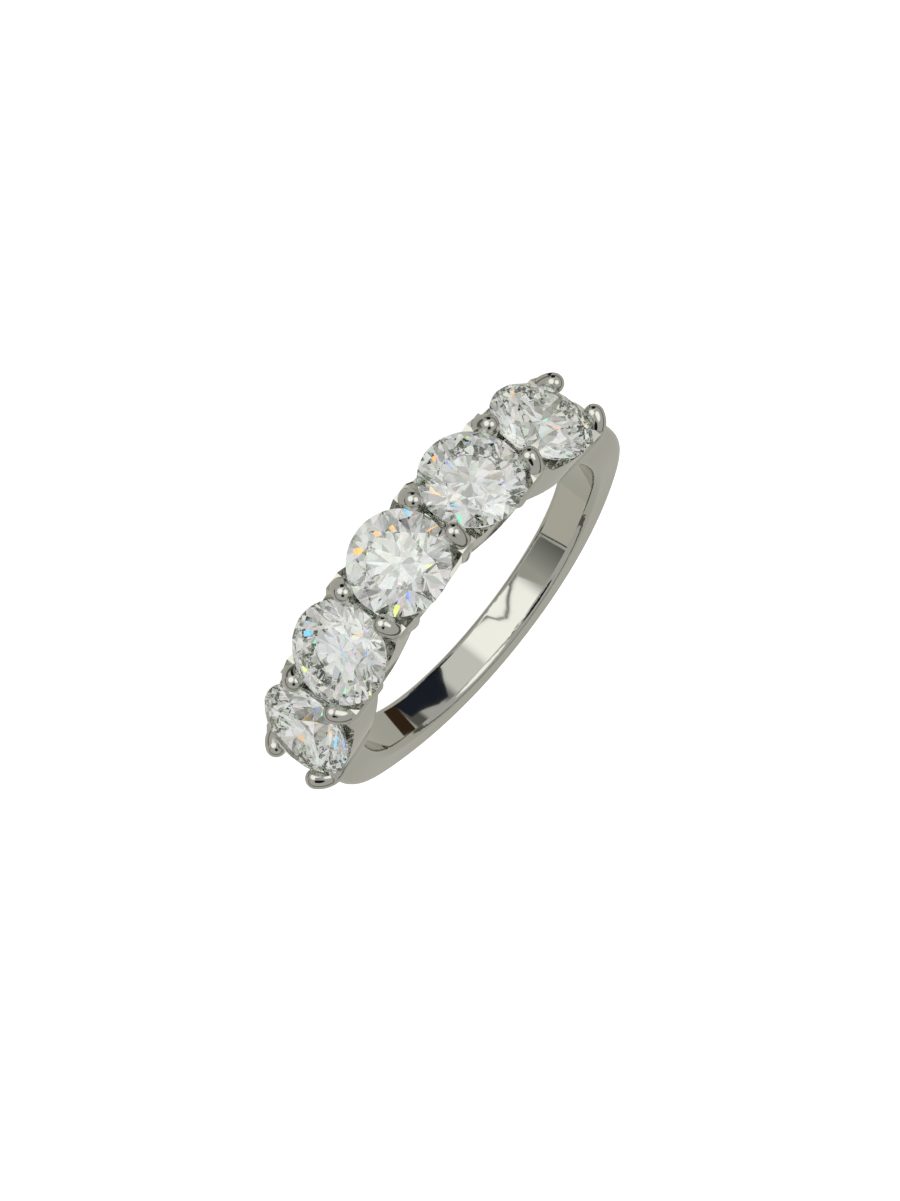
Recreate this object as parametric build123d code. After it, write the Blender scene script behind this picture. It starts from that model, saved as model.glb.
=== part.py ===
from build123d import *
from math import acos, asin, atan, atan2, cos, degrees, hypot, radians, sin, tan
import os

# A ring of white metal with five round brilliant stones in shared claws, lying on its side.
# It is built about the finger hole's own axis, with the centre stone towards -Y, and laid down at the end.
# Lengths are in millimetres and angles in degrees. An angle round the ring counts from the centre stone.

# Finger hole
bore_radius = 8.65

# Shank: its size at the bottom and at the sides, its width on the way, and its eased edges
bottom_thickness = 1.75
side_thickness = 2.18
bottom_width = 2.2
quarter_width = 2.3
side_width = 2.78
neck_width = 2.9
inner_ease = 0.3
outer_ease = 0.45

# Where those widths lie, seen from the side: shares of the bottom's radius and of the shoulders' height
quarter_share = 0.5
neck_share = 0.75
shoulder_share = 1.4

# Shoulders, beside the outer stones
shoulder_thickness = 2.75
shoulder_round = 4.0
shoulder_width = 4.5
shoulder_start = 0.6
shoulder_inset = 0.06

# Gallery walls of the head: widths over both walls, measured at the finger hole
wall_height = 2.47
wall_flare = 0.2
width_at_centre_stone = 3.35
width_at_inner_stones = 3.5
width_at_outer_stones = 3.75
width_at_claws = 3.15

# Stones
stone_radius = 2.58
stone_gap = 0.26
girdle_height = 3.02
girdle_thickness = 0.15
table_share = 0.57
crown_angle = 34.5
pavilion_angle = 40.8
star_share = 0.5
lower_share = 0.77
seat_clearance = 0.04

# Holes under the stones
hole_foot_radius = 1.0
hole_top_radius = 1.75

# Claws, which bend from a straight foot to their tip, and the bars between each pair: heights above the finger
# hole, and places from the middle of the row
claw_radius = 0.52
claw_foot_place = 1.1
claw_bend_height = 2.45
claw_bend_place = 1.68
claw_tip_height = 3.45
claw_tip_place = 1.27
bar_width = 0.55
bar_height = 2.65

# Posts, where the walls rise to the claws: height, and half widths along the row at the foot and the top
post_height = 2.85
post_foot_reach = 0.9
post_top_reach = 0.48

# The stones along the row, and how far each one is turned in its seat
stone_turns = {
    "stone_right_outer": 8,
    "stone_right_inner": 31,
    "stone_centre": 12,
    "stone_left_inner": 22.5,
    "stone_left_outer": 3,
}

# Places that follow from the sizes
girdle_radius = bore_radius + girdle_height
pitch = 2 * degrees(atan(stone_radius / girdle_radius) + asin(stone_gap / 2 / hypot(girdle_radius, stone_radius)))
middle_stone = 2
stone_angles = [(index - middle_stone) * pitch for index in range(5)]
claw_angles = [angle - pitch / 2 for angle in stone_angles] + [stone_angles[-1] + pitch / 2]
head_end = claw_angles[-1]
bottom_radius = bore_radius + bottom_thickness
side_radius = bore_radius + side_thickness
shank_radius = (bottom_radius + side_radius ** 2 / bottom_radius) / 2
shank_shift = shank_radius - bottom_radius
shoulder_radius = bore_radius + shoulder_thickness

# How far the cutting shapes run: just past the ring, and well past it
past = 1.2 * shoulder_radius
well_past = 3 * shoulder_radius
edge_tolerance = 0.01


def ring_point(radius, angle):
    """A point at an angle round the ring."""
    return Vector(radius * sin(radians(angle)), -radius * cos(radians(angle)))


def across(angle):
    """The plane that cuts the ring at an angle: x runs outwards and y along the ring's axis."""
    return Plane(origin=(0, 0, 0), x_dir=ring_point(1, angle), z_dir=ring_point(1, angle - 90))


def stone_place(index):
    """The middle of a stone's girdle: x along the row, y along the ring's axis, z towards the table."""
    angle = stone_angles[index]
    return Plane(origin=ring_point(girdle_radius, angle), x_dir=ring_point(1, angle + 90), z_dir=ring_point(1, angle))


def ring_spot(edge):
    """How far an edge's middle lies from the ring's axis, and how high."""
    middle = edge.position_at(0.5)
    return hypot(middle.X, middle.Y), abs(middle.Z)


def finger_edges(body):
    """The edges round the finger hole, on both sides."""
    found = []
    for edge in body.edges():
        radius, height = ring_spot(edge)
        if abs(radius - bore_radius) < edge_tolerance and height > bottom_width / 4:
            found.append(edge)
    return found


def shank_outline():
    """The shank and the shoulders seen along the ring's axis: two arcs, joined by lines that touch the shank's."""
    corner = ring_point(shoulder_radius, head_end)
    from_middle = corner + Vector(0, shank_shift)
    touch = degrees(atan2(from_middle.X, -from_middle.Y) + acos(shank_radius / from_middle.length))
    meeting = ring_point(shank_radius, touch) - Vector(0, shank_shift)
    outline = make_face([
        ThreePointArc((-corner.X, corner.Y), (0, -shoulder_radius), corner),
        Line(corner, meeting),
        ThreePointArc(meeting, (0, bottom_radius), (-meeting.X, meeting.Y)),
        Line((-meeting.X, meeting.Y), (-corner.X, corner.Y)),
    ])
    corners = [spot for spot in outline.vertices() if hypot(spot.X, spot.Y) > shoulder_radius - edge_tolerance]
    return fillet(corners, shoulder_round)


def width_outline():
    """The shank's width seen from the side of the ring, from its bottom to past the head."""
    shoulder_rise = shoulder_radius * cos(radians(head_end))
    spots = [
        (bottom_radius + outer_ease, bottom_width / 2),
        (bottom_radius * quarter_share, quarter_width / 2),
        (0, side_width / 2),
        (-shoulder_rise * neck_share, neck_width / 2),
        (-shoulder_rise * shoulder_share, shoulder_width / 2),
    ]
    half = make_face([
        Spline(spots, tangents=[(-1, 0), (-1, 0)]),
        Line(spots[-1], (-past, shoulder_width / 2)),
        Line((-past, shoulder_width / 2), (-past, 0)),
        Line((-past, 0), (spots[0][0], 0)),
        Line((spots[0][0], 0), spots[0]),
    ])
    return half + mirror(half, about=Plane.XZ)


def head_wedge():
    """The sector of the ring that the head takes from the shank."""
    cut_angle = head_end - pitch * shoulder_start
    side = ring_point(well_past, cut_angle)
    wedge = Polyline((0, 0), side, (0, -2 * well_past), (-side.X, side.Y), close=True)
    return extrude(make_face(wedge), amount=2 * shoulder_width, both=True)


def flared_room():
    """The room just inside the outer stones' flared walls, all round the ring."""
    foot = width_at_outer_stones / 2 - shoulder_inset - wall_flare * bore_radius
    rim = foot + wall_flare * past
    outline = Polyline((0, -foot), (0, foot), (past, rim), (past, -rim), close=True)
    return revolve(Plane.XZ * make_face(outline), Axis.Z)


def finger_hole():
    return Cylinder(bore_radius, 4 * shoulder_width)


def shank():
    """The shank and both shoulders, up to the head."""
    body = extrude(shank_outline(), amount=shoulder_width, both=True)
    body &= extrude(Plane.YZ * width_outline(), amount=well_past, both=True)
    body -= finger_hole()
    body -= head_wedge()
    outer = []
    for edge in body.edges():
        nearest = min(hypot(spot.X, spot.Y) for spot in edge.vertices())
        if nearest > bottom_radius - outer_ease / 4 and ring_spot(edge)[1] > outer_ease:
            outer.append(edge)
    body = fillet(outer, outer_ease)
    body &= flared_room()
    return fillet(finger_edges(body), inner_ease)


def dip():
    """The dip of a wall's top between two posts, and the room between both walls."""
    foot = bore_radius + wall_height
    top = bore_radius + post_height
    foot_half = foot * tan(radians(pitch / 2)) - post_foot_reach
    top_half = top * tan(radians(pitch / 2)) - post_top_reach
    above = girdle_radius + stone_radius
    outline = Polyline(
        (-foot_half, foot),
        (foot_half, foot),
        (top_half, top),
        (top_half, above),
        (-top_half, above),
        (-top_half, top),
        close=True,
    )
    sides = extrude(Plane.XZ * make_face(outline), amount=shoulder_width, both=True)
    middle = Pos(0, 0, (foot + above) / 2) * Box(4 * stone_radius, 2 * claw_foot_place, above - foot)
    return Pos(0, 0, -girdle_radius) * (sides + middle)


def basket(index):
    """The wall round one stone: a bowed wedge that widens outwards, open to the finger hole."""
    widths = [width_at_centre_stone, width_at_inner_stones, width_at_outer_stones]
    foot_width = widths[abs(index - middle_stone)]

    def level(height):
        grown = wall_flare * (height - bore_radius)
        end = height * tan(radians(pitch / 2))
        at_claws = width_at_claws / 2 + grown
        at_stone = foot_width / 2 + grown
        outline = [
            ThreePointArc((-end, at_claws), (0, at_stone), (end, at_claws)),
            Line((end, at_claws), (end, -at_claws)),
            ThreePointArc((end, -at_claws), (0, -at_stone), (-end, -at_claws)),
            Line((-end, -at_claws), (-end, at_claws)),
        ]
        return stone_place(index).offset(height - girdle_radius) * make_face(outline)

    low = bore_radius * cos(radians(pitch / 2)) - inner_ease
    body = loft([level(low), level(bore_radius + post_height)], ruled=True) - finger_hole()
    return fillet(finger_edges(body), inner_ease) - stone_place(index) * dip()


def claw(angle, side):
    """One claw: a round wire that leans outwards from the finger hole, then bends in over two stones' edges."""
    place = across(angle)
    foot = place.from_local_coords(Vector(bore_radius - inner_ease, side * claw_foot_place, 0))
    bend = place.from_local_coords(Vector(bore_radius + claw_bend_height, side * claw_bend_place, 0))
    tip = place.from_local_coords(Vector(bore_radius + claw_tip_height, side * claw_tip_place, 0))
    run = bend - foot
    rod = Cylinder(claw_radius, run.length, align=(Align.CENTER, Align.CENTER, Align.MIN))
    arc = TangentArc(bend, tip, tangent=run)
    turning = Axis(arc.arc_center, run.cross(arc.arc_center - bend))
    turn = 2 * run.get_angle(tip - bend)
    curl = revolve(Plane(origin=bend, z_dir=run) * Circle(claw_radius), turning, revolution_arc=turn)
    return Plane(origin=foot, z_dir=run) * rod + curl + Pos(*tip) * Sphere(claw_radius)


def bar(angle):
    """The cross bar that ties a pair of claws together under the stones' edges."""
    low = bore_radius + claw_radius
    high = bore_radius + bar_height
    block = Pos((low + high) / 2, 0, 0) * Box(high - low, 2 * claw_tip_place, bar_width)
    return across(angle) * block


def stone_spots():
    """Named points of the cut: radius and height, from the middle of the girdle."""
    edge = girdle_thickness / 2
    half_eighth = radians(360 / 16)
    crown_slope = tan(radians(crown_angle))
    pavilion_slope = tan(radians(pavilion_angle))
    table_radius = table_share * stone_radius
    table_flat = table_radius * cos(half_eighth)
    star_radius = table_flat + star_share * (stone_radius - table_flat)
    lower_radius = (1 - lower_share) * stone_radius
    return {
        "girdle_top": (stone_radius, edge),
        "girdle_foot": (stone_radius, -edge),
        "table": (table_radius, edge + (stone_radius - table_radius) * crown_slope),
        "star": (star_radius, edge + (stone_radius - star_radius * cos(half_eighth)) * crown_slope),
        "lower": (lower_radius, -edge - (stone_radius - lower_radius * cos(half_eighth)) * pavilion_slope),
        "culet": (0, -edge - stone_radius * pavilion_slope),
    }


def brilliant(turn):
    """A round brilliant: a cylinder ground flat along 57 planes."""
    spots = stone_spots()

    def spot(name, angle):
        radius, height = spots[name]
        place = radians(angle + turn)
        return Vector(radius * cos(place), radius * sin(place), height)

    def grind(stone, a, b, c):
        """Takes off what lies outside the plane through three points."""
        normal = (b - a).cross(c - a)
        if normal.dot(a) < 0:
            normal = -normal
        return split(stone, bisect_by=Plane(origin=a, z_dir=normal), keep=Keep.BOTTOM)

    top = spots["table"][1]
    foot = spots["culet"][1]
    stone = Pos(0, 0, (top + foot) / 2) * Cylinder(stone_radius, top - foot)
    for eighth in range(8):
        angle = eighth * 360 / 8
        half_step = 360 / 16
        level = Vector(-sin(radians(angle + turn)), cos(radians(angle + turn)), 0)
        kite = spot("girdle_top", angle)
        main = spot("girdle_foot", angle)
        stone = grind(stone, kite, spot("table", angle), kite + level)
        stone = grind(stone, main, spot("culet", angle), main + level)
        stone = grind(stone, spot("table", angle), spot("table", angle + 2 * half_step), spot("star", angle + half_step))
        for beside in (angle - half_step, angle + half_step):
            stone = grind(stone, kite, spot("girdle_top", beside), spot("star", beside))
            stone = grind(stone, main, spot("girdle_foot", beside), spot("lower", beside))
    return stone


def seat_cutter():
    """The room that a stone takes in the metal, with its clearance, and the hole under it."""
    spots = stone_spots()
    radius, edge = spots["girdle_top"]
    reach = radius + seat_clearance
    slope = (-spots["lower"][1] - edge) / (radius - spots["lower"][0])
    crown = [(spots[name][0] + seat_clearance, spots[name][1] + seat_clearance) for name in ("star", "table")]
    outline = Polyline(
        (0, -edge - reach * slope),
        (reach, -edge),
        (reach, edge),
        *crown,
        (0, crown[-1][1]),
        close=True,
    )
    room = revolve(Plane.XZ * make_face(outline), Axis.Z)
    depth = girdle_height + hole_foot_radius
    run = Pos(0, 0, -depth / 2) * Cone(hole_foot_radius, hole_top_radius, depth)
    return room + run


def metal():
    """The cast and soldered metal, as one solid: one half, and its mirror image."""
    body = shank()
    for index in range(middle_stone + 1):
        body += basket(index)
    for angle in claw_angles[:middle_stone + 1]:
        body += bar(angle)
        body += claw(angle, 1)
        body += claw(angle, -1)
    body -= finger_hole()
    for index in range(middle_stone + 1):
        body -= stone_place(index) * seat_cutter()
    half = split(body, bisect_by=Plane.YZ, keep=Keep.BOTTOM)
    return half.fuse(mirror(half, about=Plane.YZ)).fix()


def lying_tilt():
    """How far the ring leans when it lies on its outer stones' girdles and on the shank's bottom edge."""
    stone_spot = Vector((girdle_radius - girdle_thickness / 2) * cos(radians(stone_angles[-1])), -stone_radius)
    edge_middle = Vector(outer_ease - bottom_radius, outer_ease - bottom_width / 2)
    run = stone_spot - edge_middle
    return degrees(atan2(-run.Y, run.X) - asin(outer_ease / run.length))


def main():
    pieces = {"band_and_setting": metal()}
    for index, (name, turn) in enumerate(stone_turns.items()):
        pieces[name] = stone_place(index) * brilliant(turn)
    pieces = {name: Rot(-lying_tilt(), 0, 0) * piece for name, piece in pieces.items()}
    boxes = [piece.bounding_box() for piece in pieces.values()]
    front = min(box.min.Y for box in boxes)
    back = max(box.max.Y for box in boxes)
    foot = min(box.min.Z for box in boxes)
    rest = Pos(0, -(front + back) / 2, -foot)
    os.makedirs("parts", exist_ok=True)
    for name, piece in pieces.items():
        piece = rest * piece
        piece.label = name
        export_step(piece, f"parts/{name}.step")


main()
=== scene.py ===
"""A five stone ring of polished white metal, lying on its side under soft studio light."""

from math import acos, cos, radians, sin, tan

import bmesh
import bpy
from mathutils import Matrix, Quaternion, Vector

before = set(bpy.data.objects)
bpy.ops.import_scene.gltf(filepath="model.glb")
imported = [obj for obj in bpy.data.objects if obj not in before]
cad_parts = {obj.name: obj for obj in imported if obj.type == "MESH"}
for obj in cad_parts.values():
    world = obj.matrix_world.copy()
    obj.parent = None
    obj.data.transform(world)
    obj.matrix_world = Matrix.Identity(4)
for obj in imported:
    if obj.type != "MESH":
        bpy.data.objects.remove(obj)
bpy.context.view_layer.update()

MM = 0.001

# The photograph's view: a long lens, turned so that the row of stones runs up the picture
LENS_MM = 209.05
CAMERA_AZIMUTH = -3.425
CAMERA_HEIGHT = 21.05
CAMERA_TURN = 128.6
CAMERA_DISTANCE = 338.98 * MM
LOOKED_AT = Vector((0.527, 0.325, 2.0)) * MM

# The white gold's marks. Real hairlines are about 0.01 mm wide, and are drawn coarser to show at all.
BUFFING_WAVE = 1.5 * MM
HAIRLINE = 0.05 * MM
HAZE_PATCH = 4.0 * MM

FLOOR_SIZE = 6.0
FLOOR_GRAIN = 0.4 * MM
FLOOR_GLOW = 0.85

# The planes of the cards that the finger hole's wall mirrors, in mm
LEFT_CARDS = ("x", -14)
RIGHT_CARDS = ("x", 30)
FRONT_CARDS = ("y", -30)

# The stones' own light: a soft tent, and small coloured lights that turn by the golden angle over its front
TENT_RADIUS = 0.4
SPARK_DISTANCE = 0.3
SPARK_SPREAD = 1.9
SPARK_COUNT = 60
SPARK_TURN = 137.5
SPARK_CORNERS = 12
SPARK_STRENGTH = 1.7
SPARK_TINTS = ("ffb868", "dff070", "78f0c8", "70ccff", "7c94ff", "c49cff")

# Light turns many times inside a cut stone, and between it and its seat.
STONE_BOUNCES = 24
METAL_BOUNCES = 16


def colour(code):
    """A linear colour with alpha from an sRGB hex value such as "c8c4bc"."""
    values = []
    for place in (0, 2, 4):
        share = int(code[place:place + 2], 16) / 255
        values.append(share / 12.92 if share <= 0.04045 else ((share + 0.055) / 1.055) ** 2.4)
    return (*values, 1.0)


def node(tree, kind, links=None, **settings):
    """Adds a node. Settings are its own properties. Links are its inputs' values, or the sockets they take."""
    added = tree.nodes.new(kind)
    for name, value in settings.items():
        setattr(added, name, value)
    for name, value in (links or {}).items():
        if isinstance(value, bpy.types.NodeSocket):
            tree.links.new(value, added.inputs[name])
        else:
            added.inputs[name].default_value = value
    return added


def new_material(name):
    """An empty material and its node tree."""
    made = bpy.data.materials.new(name)
    made.use_nodes = True
    made.node_tree.nodes.clear()
    return made, made.node_tree


def direction(azimuth, height):
    """The direction at an azimuth and a height above the floor. 0 is the camera's side, 90 its right."""
    a, h = radians(azimuth), radians(height)
    return Vector((sin(a) * cos(h), -cos(a) * cos(h), sin(h)))


def polished_white_gold():
    """White gold with a rhodium finish, buffed to a mirror: warm grey, with the faint waves and hairlines of
    hand polishing, and a little haze where it is handled."""
    made, tree = new_material("polished_white_gold")
    place = node(tree, "ShaderNodeTexCoord").outputs["Object"]
    waves = node(tree, "ShaderNodeTexNoise", {"Vector": place, "Scale": 1 / BUFFING_WAVE, "Detail": 1.0})
    hairlines = node(tree, "ShaderNodeTexNoise", {"Vector": place, "Scale": 1 / HAIRLINE, "Detail": 3.0})
    haze = node(tree, "ShaderNodeTexNoise", {"Vector": place, "Scale": 1 / HAZE_PATCH, "Detail": 2.0})
    tint = node(tree, "ShaderNodeMix", {
        "Factor": haze.outputs["Fac"], 6: colour("cbcbc4"), 7: colour("d4d4ce"),
    }, data_type="RGBA")
    rough = node(tree, "ShaderNodeMapRange", {
        "Value": haze.outputs["Fac"],
        "From Min": 0.3, "From Max": 0.7, "To Min": 0.02, "To Max": 0.05,
    })
    wavy = node(tree, "ShaderNodeBump", {
        "Strength": 0.01, "Distance": 0.1 * MM, "Height": waves.outputs["Fac"],
    })
    bump = node(tree, "ShaderNodeBump", {
        "Strength": 0.04, "Distance": 0.002 * MM,
        "Height": hairlines.outputs["Fac"], "Normal": wavy.outputs["Normal"],
    })
    shader = node(tree, "ShaderNodeBsdfPrincipled", {
        "Base Color": tint.outputs[2], "Metallic": 1.0,
        "Roughness": rough.outputs["Result"], "Normal": bump.outputs["Normal"],
    })
    node(tree, "ShaderNodeOutputMaterial", {"Surface": shader.outputs["BSDF"]})
    return made


def diamond():
    """Colourless diamond, cut and polished: very bright, with mirror-like facets."""
    made, tree = new_material("brilliant_cut_diamond")
    shader = node(tree, "ShaderNodeBsdfGlass", {
        "Color": (0.985, 0.99, 0.98, 1), "Roughness": 0.0, "IOR": 2.5,
    })
    node(tree, "ShaderNodeOutputMaterial", {"Surface": shader.outputs["BSDF"]})
    return made


def studio_floor():
    """Matt white acrylic sheet, lit from below: an even white with no shadow."""
    made, tree = new_material("white_studio_floor")
    place = node(tree, "ShaderNodeTexCoord").outputs["Object"]
    grain = node(tree, "ShaderNodeTexNoise", {"Vector": place, "Scale": 1 / FLOOR_GRAIN})
    tint = node(tree, "ShaderNodeMix", {
        "Factor": grain.outputs["Fac"], 6: colour("f6f6f6"), 7: colour("fafafa"),
    }, data_type="RGBA")
    shader = node(tree, "ShaderNodeBsdfPrincipled", {
        "Base Color": tint.outputs[2], "Roughness": 0.6,
        "Emission Color": (1, 1, 1, 1), "Emission Strength": FLOOR_GLOW,
    })
    node(tree, "ShaderNodeOutputMaterial", {"Surface": shader.outputs["BSDF"]})
    return made


def plain_card(name, code):
    """Card of one colour, lit evenly."""
    made, tree = new_material(name)
    shader = node(tree, "ShaderNodeEmission", {"Color": colour(code)})
    node(tree, "ShaderNodeOutputMaterial", {"Surface": shader.outputs["Emission"]})
    return made


def fading_card(name, near, far, start, end):
    """Card whose colour fades along Y from one hex value to another."""
    made, tree = new_material(name)
    place = node(tree, "ShaderNodeTexCoord").outputs["Object"]
    parts = node(tree, "ShaderNodeSeparateXYZ", {"Vector": place})
    along = node(tree, "ShaderNodeMapRange", {
        "Value": parts.outputs["Y"], "From Min": start * MM, "From Max": end * MM,
    })
    tint = node(tree, "ShaderNodeMix", {
        "Factor": along.outputs["Result"], 6: colour(near), 7: colour(far),
    }, data_type="RGBA")
    shader = node(tree, "ShaderNodeEmission", {"Color": tint.outputs[2]})
    node(tree, "ShaderNodeOutputMaterial", {"Surface": shader.outputs["Emission"]})
    return made


def add_mesh(name, bm, material):
    """Makes an object of a bmesh and frees it."""
    mesh = bpy.data.meshes.new(name)
    bm.to_mesh(mesh)
    bm.free()
    made = bpy.data.objects.new(name, mesh)
    made.data.materials.append(material)
    bpy.context.scene.collection.objects.link(made)
    return made


def make_floor():
    """The floor. The metal doesn't mirror it, as if the ring lay on clear glass high in the studio."""
    bm = bmesh.new()
    bmesh.ops.create_grid(bm, x_segments=1, y_segments=1, size=FLOOR_SIZE / 2)
    floor = add_mesh("floor", bm, studio_floor())
    floor.visible_glossy = False
    floor.visible_transmission = False


def make_card(name, plane, paint, corners):
    """An upright card beside the ring, for the metal to mirror. Corners are (along its plane, up), in mm."""
    axis, distance = plane
    bm = bmesh.new()
    spots = []
    for along, up in corners:
        place = (distance, along, up) if axis == "x" else (along, distance, up)
        spots.append(bm.verts.new(Vector(place) * MM))
    bm.faces.new(spots)
    card = add_mesh(name, bm, paint)
    card.visible_camera = False
    card.visible_diffuse = False
    card.visible_shadow = False
    card.visible_transmission = False


def make_camera():
    """The camera at the photograph's angle to the ring."""
    data = bpy.data.cameras.new("camera")
    data.lens = LENS_MM
    data.clip_start = 0.01
    data.clip_end = 20.0
    camera = bpy.data.objects.new("camera", data)
    back = direction(CAMERA_AZIMUTH, CAMERA_HEIGHT)
    camera.location = LOOKED_AT + back * CAMERA_DISTANCE
    camera.rotation_mode = "QUATERNION"
    level = back.to_track_quat("Z", "Y")
    camera.rotation_quaternion = level @ Quaternion((0, 0, 1), radians(CAMERA_TURN))
    bpy.context.scene.collection.objects.link(camera)
    bpy.context.scene.camera = camera


def picture_way(right, up, back):
    """The direction that is this far to the right, up and back to the camera, as the picture shows it."""
    turn = bpy.context.scene.camera.rotation_quaternion
    return (turn @ Vector((right, up, back))).normalized()


def make_world(sky, panels):
    """The studio round the ring: an even grey, and soft panels that are brighter or darker than it. A panel
    is the way to it in the picture, the half angles where it starts to fade and ends, and its brightness."""
    world = bpy.data.worlds.new("studio")
    bpy.context.scene.world = world
    world.use_nodes = True
    tree = world.node_tree
    tree.nodes.clear()
    way = node(tree, "ShaderNodeTexCoord").outputs["Generated"]
    light = node(tree, "ShaderNodeCombineXYZ", {"X": sky[0], "Y": sky[1], "Z": sky[2]}).outputs["Vector"]
    for toward, inner, outer, tint in panels:
        along = node(tree, "ShaderNodeVectorMath", {0: way, 1: picture_way(*toward)}, operation="DOT_PRODUCT")
        share = node(tree, "ShaderNodeMapRange", {
            "Value": along.outputs["Value"],
            "From Min": cos(radians(outer)), "From Max": cos(radians(inner)),
        }, interpolation_type="SMOOTHSTEP")
        light = node(tree, "ShaderNodeMix", {
            0: share.outputs["Result"], 4: light, 5: tint,
        }, data_type="VECTOR").outputs[1]
    back = node(tree, "ShaderNodeBackground", {"Color": light})
    node(tree, "ShaderNodeOutputWorld", {"Surface": back.outputs["Background"]})


def only_for_stones(staged):
    """Lets a stage object show in the light that has passed through the stones, and nowhere else."""
    staged.visible_camera = False
    staged.visible_diffuse = False
    staged.visible_glossy = False
    staged.visible_shadow = False


def make_tent():
    """A light tent round the stones: soft patches from mid grey to white, with a breath of colour."""
    made, tree = new_material("tent_light")
    place = node(tree, "ShaderNodeTexCoord").outputs["Object"]
    way = node(tree, "ShaderNodeVectorMath", {0: place}, operation="NORMALIZE").outputs["Vector"]
    patches = node(tree, "ShaderNodeTexNoise", {"Vector": way, "Scale": 3.0, "Detail": 1.0})
    bright = node(tree, "ShaderNodeMapRange", {
        "Value": patches.outputs["Fac"], "From Min": 0.38, "From Max": 0.58, "To Min": 0.7, "To Max": 1.8,
    })
    hue = node(tree, "ShaderNodeTexNoise", {"Vector": way, "Scale": 5.0, "Detail": 0.0})
    tint = node(tree, "ShaderNodeMix", {
        "Factor": 0.15, 6: (0.5, 0.5, 0.5, 1), 7: hue.outputs["Color"],
    }, data_type="RGBA")
    shader = node(tree, "ShaderNodeEmission", {
        "Color": tint.outputs[2], "Strength": bright.outputs["Result"],
    })
    node(tree, "ShaderNodeOutputMaterial", {"Surface": shader.outputs["Emission"]})
    bm = bmesh.new()
    bmesh.ops.create_icosphere(bm, subdivisions=3, radius=TENT_RADIUS)
    only_for_stones(add_mesh("tent", bm, made))


def make_sparks():
    """Small coloured lights that only the stones' facets pick up. They stand for the colours that a cut
    diamond splits white light into, which would need far more samples."""
    radius = SPARK_DISTANCE * tan(radians(SPARK_SPREAD))
    for first, tint in enumerate(SPARK_TINTS):
        made, tree = new_material(f"spark_light_{first}")
        shader = node(tree, "ShaderNodeEmission", {"Color": colour(tint), "Strength": SPARK_STRENGTH})
        node(tree, "ShaderNodeOutputMaterial", {"Surface": shader.outputs["Emission"]})
        bm = bmesh.new()
        for number in range(first, SPARK_COUNT, len(SPARK_TINTS)):
            lean = acos(1 - (number + 0.5) / SPARK_COUNT)
            turn = radians(number * SPARK_TURN)
            way = picture_way(sin(lean) * cos(turn), sin(lean) * sin(turn), cos(lean))
            facing = way.to_track_quat("Z", "Y").to_matrix().to_4x4()
            place = Matrix.Translation(LOOKED_AT + way * SPARK_DISTANCE) @ facing
            bmesh.ops.create_circle(
                bm, cap_ends=True, segments=SPARK_CORNERS, radius=radius, matrix=place)
        only_for_stones(add_mesh(f"sparks_{first}", bm, made))


def make_left_cards():
    """The navy and the brown patch on the finger hole's wall, at the picture's lower left."""
    make_card("navy_card", LEFT_CARDS, plain_card("navy", "22262f"), [
        (-6.8, -4.7), (-3.9, -3.85), (-1.6, -3.05), (1.3, -3.15), (4.5, -3.7),
        (8.2, -4.3), (8.6, -5.3), (8.6, -6.6), (2.8, -5.7), (-6.8, -5.3),
    ])
    make_card("brown_card", LEFT_CARDS, plain_card("brown", "3a2a1c"), [
        (8.6, -5.3), (10.2, -3.9), (15.2, -5.1), (12.4, -6.3), (12.4, -7.2), (8.6, -6.6),
    ])


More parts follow.
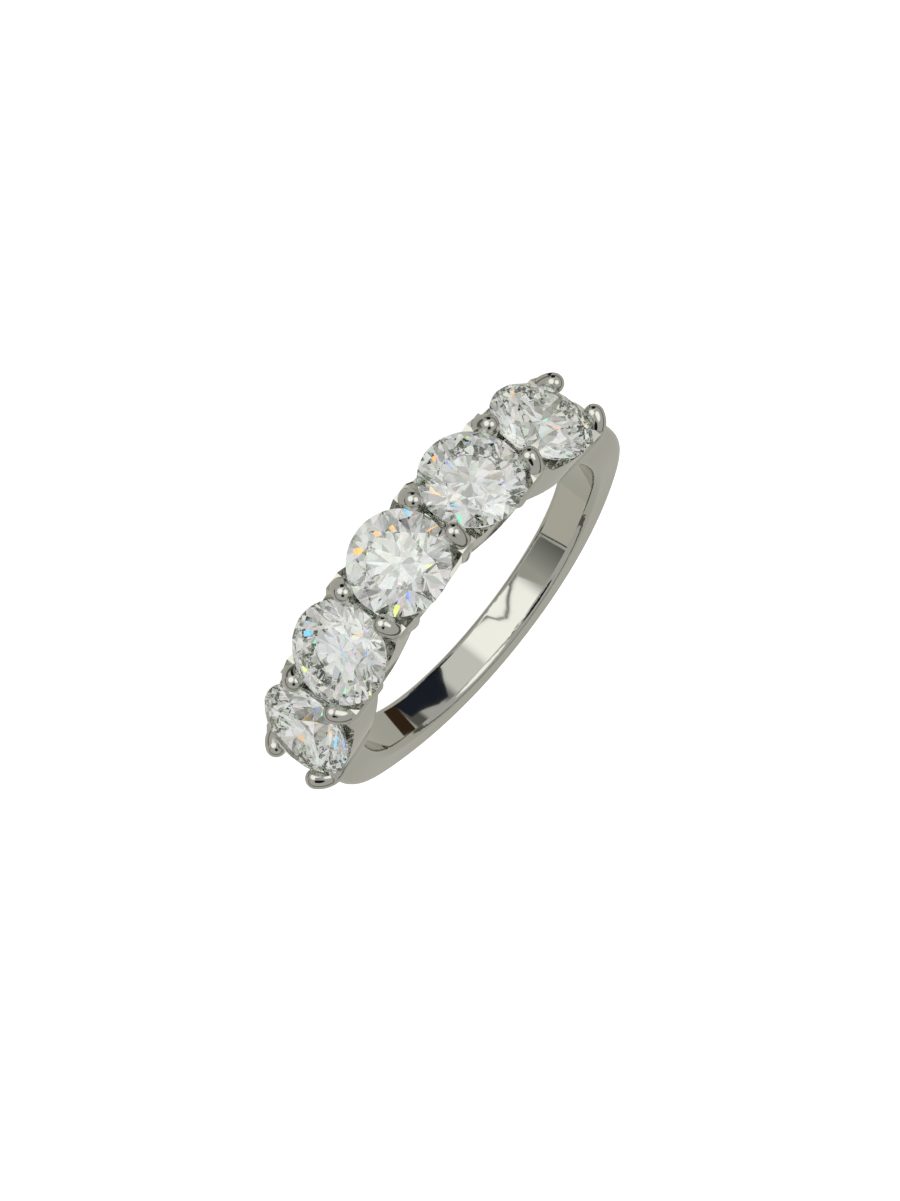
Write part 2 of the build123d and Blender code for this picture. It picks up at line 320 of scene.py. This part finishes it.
def make_right_cards():
    """The pale and the grey stretch at the upper right, the black line between them, and the edge's line."""
    make_card("pale_card", RIGHT_CARDS, plain_card("pale", "c9c6bc"), [
        (-5.3, -6.5), (-9.4, -9.2), (-12, -25), (20, -25), (20, -4), (-4, -4),
    ])
    make_card("black_line_card", RIGHT_CARDS, plain_card("black_line", "050505"), [
        (-5.3, -6.5), (-5.95, -6.5), (-10.1, -9.2), (-9.4, -9.2),
    ])
    make_card("grey_card", RIGHT_CARDS, fading_card("grey", "b4b4ac", "6c6e66", -32, -9), [
        (-7.3, -6.2), (-8.3, -7.05), (-10.5, -8.8), (-13.6, -9.05), (-26.2, -10.05),
        (-48.8, -12.9), (-37.9, -9.7), (-34, -8.5), (-34, -6.2),
    ])
    make_card("edge_line_card", RIGHT_CARDS, plain_card("edge_line", "30302c"), [
        (-9.6, -8.95), (-13.6, -9.15), (-26.2, -10.15), (-50.6, -13.2), (-75.4, -17.1),
        (-75.4, -17.6), (-50.6, -13.6), (-26.2, -10.4), (-13.6, -9.35), (-9.9, -9.2),
    ])


def make_front_cards():
    """The two thin folds that show as lines in the wall's white stretch."""
    make_card("steep_fold_card", FRONT_CARDS, plain_card("steep_fold", "30302c"), [
        (13.3, -7.8), (6.6, -6.8), (1.0, -5.97), (1.0, -5.75), (6.6, -6.55), (13.3, -7.6),
    ])
    make_card("flat_fold_card", FRONT_CARDS, plain_card("flat_fold", "50504a"), [
        (-8.6, -7.75), (-2.5, -7.2), (1.0, -6.15), (1.0, -5.95), (-2.5, -6.95), (-8.6, -7.5),
    ])


metal = polished_white_gold()
stone = diamond()
for name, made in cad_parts.items():
    made.data.materials.clear()
    made.data.materials.append(metal if name == "band_and_setting" else stone)

make_camera()
make_floor()
make_world((0.52, 0.51, 0.465), [
    # a thin dark line round the claws' tips, and the grey inside it
    ((0, 0, 1), 98, 102, (0.12, 0.12, 0.11)),
    ((0, 0, 1), 86, 91, (0.52, 0.52, 0.5)),
    # two white lamps, and a weaker one above them
    ((-0.45, 0.28, 0.85), 22, 34, (1.35, 1.35, 1.3)),
    ((0.55, 0.15, 0.82), 18, 26, (1.35, 1.35, 1.3)),
    ((0.0, 0.8, 0.6), 12, 16, (0.8, 0.8, 0.77)),
    # the black gaps under and over the lamps, and the dark camera between them
    ((0.05, -0.55, 0.83), 14, 18, (0.01, 0.01, 0.01)),
    ((-0.06, 0.95, 0.26), 16, 19, (0.01, 0.01, 0.015)),
    ((0, 0, 1), 3, 5, (0.1, 0.1, 0.1)),
])
make_tent()
make_sparks()
make_left_cards()
make_right_cards()
make_front_cards()

scene = bpy.context.scene
scene.view_settings.view_transform = "Standard"
scene.cycles.max_bounces = STONE_BOUNCES
scene.cycles.transmission_bounces = STONE_BOUNCES
scene.cycles.glossy_bounces = METAL_BOUNCES
